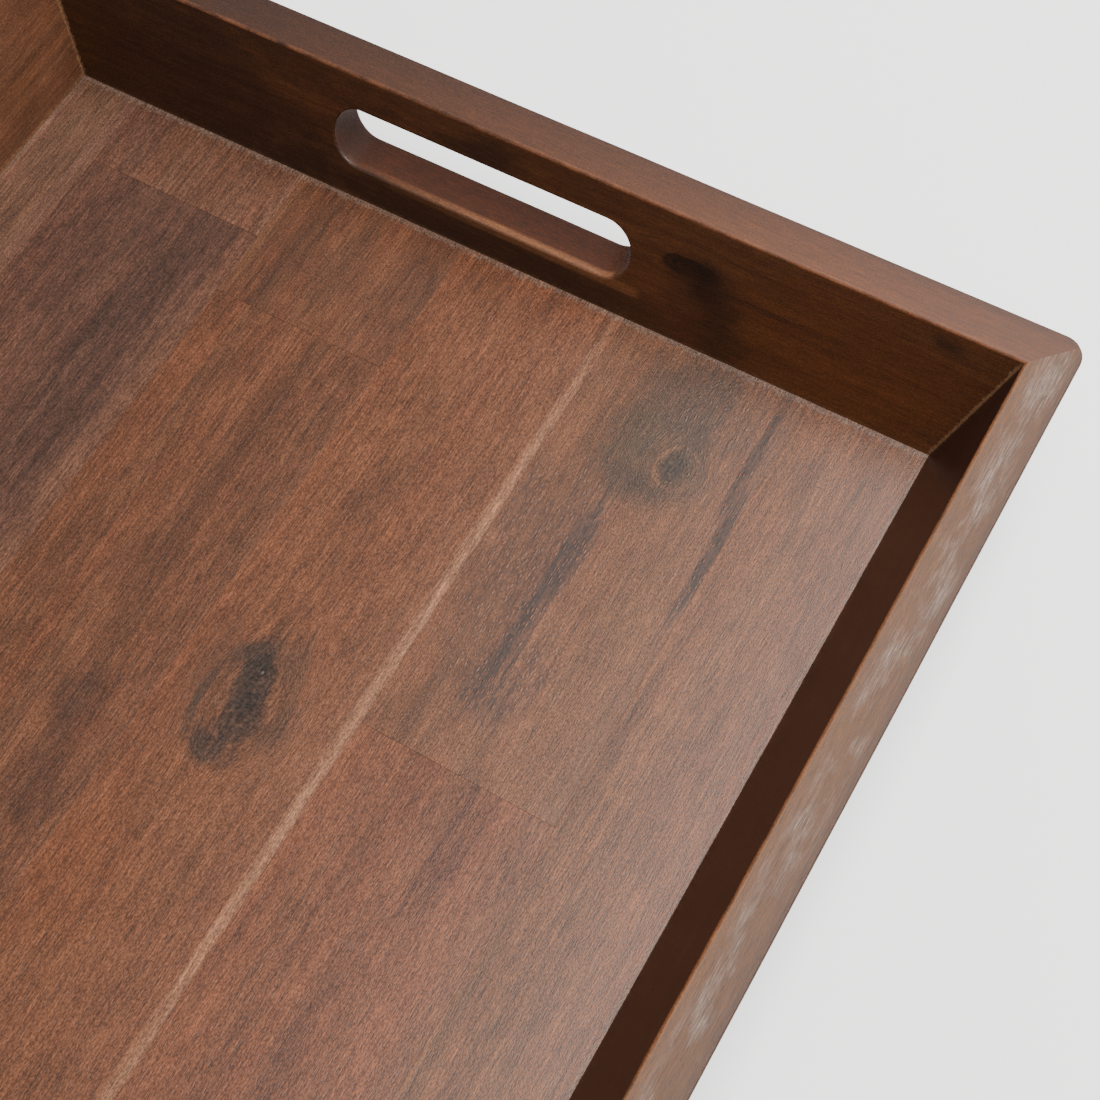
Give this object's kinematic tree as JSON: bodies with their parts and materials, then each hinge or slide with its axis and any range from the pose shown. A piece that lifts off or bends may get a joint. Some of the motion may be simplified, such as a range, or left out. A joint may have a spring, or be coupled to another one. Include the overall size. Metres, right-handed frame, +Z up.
{
  "type": "serving tray",
  "caption": "Rectangular wooden serving tray with outward-leaning mitred sides around a flat stave floor, and a round-ended hand slot through each end.",
  "frame": {"origin": "centre of the footprint on the surface the tray stands on", "axes": "+Z up, +Y along the tray's length towards the back end rail, +X towards the right side rail"},
  "size_m": [0.3632, 0.5072, 0.0516],
  "materials": {
    "rail_wood": "acacia, dark walnut stain, satin oil and wax",
    "floor_wood": "acacia staves, walnut stain, satin lacquer",
    "spline_wood": "plain acacia, planed, glued in"
  },
  "bodies": {
    "root": {"corner_spline_back_left": "spline_wood", "corner_spline_back_right": "spline_wood", "corner_spline_front_left": "spline_wood", "corner_spline_front_right": "spline_wood", "end_rail_back": "rail_wood", "end_rail_front": "rail_wood", "floor_row1_stave1": "floor_wood", "floor_row1_stave2": "floor_wood", "floor_row2_stave1": "floor_wood", "floor_row2_stave2": "floor_wood", "floor_row2_stave3": "floor_wood", "floor_row3_stave1": "floor_wood", "floor_row3_stave2": "floor_wood", "floor_row3_stave3": "floor_wood", "floor_row4_stave1": "floor_wood", "floor_row4_stave2": "floor_wood", "floor_row5_stave1": "floor_wood", "floor_row5_stave2": "floor_wood", "floor_row5_stave3": "floor_wood", "floor_row6_stave1": "floor_wood", "floor_row6_stave2": "floor_wood", "side_rail_left": "rail_wood", "side_rail_right": "rail_wood"}
  },
  "joints": []
}
